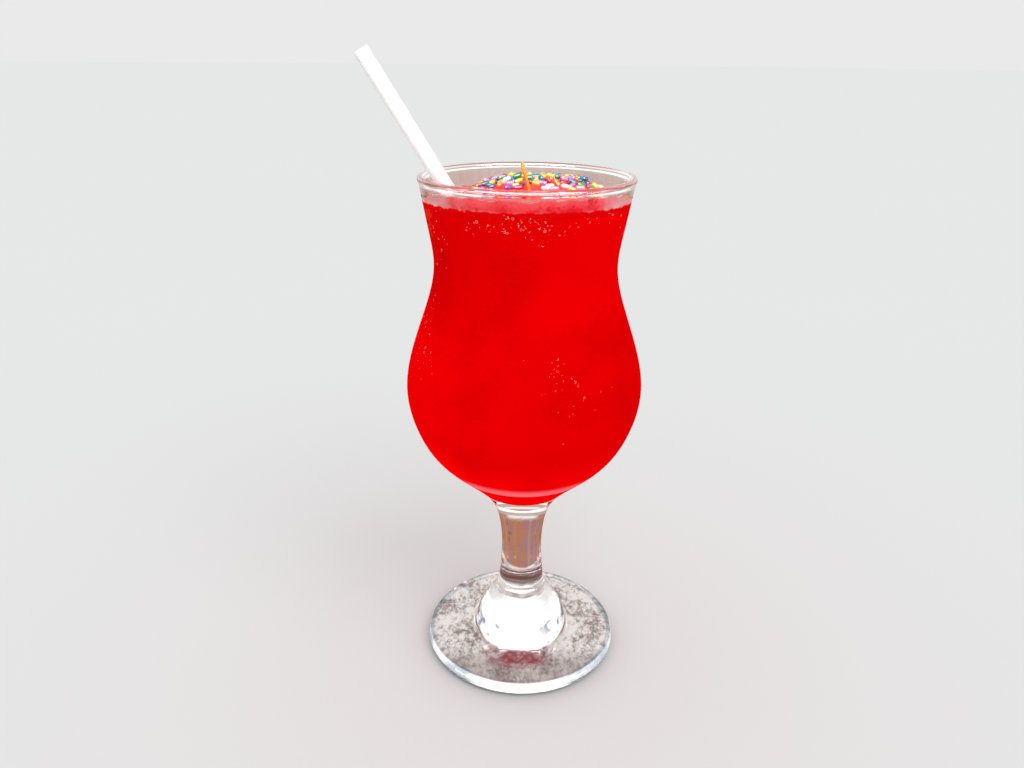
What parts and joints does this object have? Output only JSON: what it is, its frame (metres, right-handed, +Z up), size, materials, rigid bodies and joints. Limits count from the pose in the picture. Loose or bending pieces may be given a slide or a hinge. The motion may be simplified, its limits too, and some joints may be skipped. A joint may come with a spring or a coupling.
{
  "type": "glass of strawberry daiquiri",
  "caption": "Curved footed cocktail glass full of red strawberry slush, with a pink froth top, coloured sugar sprinkles, a white straw and a thin orange sugar strand.",
  "frame": {"origin": "on the glass's axis, at the underside of the foot", "axes": "+Z up along the glass's axis, -Y to the front that the picture shows, and -X to the side that the straw leans to"},
  "size_m": [0.1072, 0.0932, 0.2483],
  "materials": {
    "clear_glass": "clear and smooth",
    "red_slush": "wet saturated red slush, with pale bubbles",
    "pink_froth": "moist, soft, finely bubbled",
    "sugar_sprinkles": "small sugar rods of many colours",
    "white_straw": "satin white",
    "orange_sugar": "glossy"
  },
  "bodies": {
    "root": {"glass": "clear_glass", "daiquiri": "red_slush", "froth": "pink_froth", "straw": "white_straw", "orange_strand": "orange_sugar"}
  },
  "joints": []
}
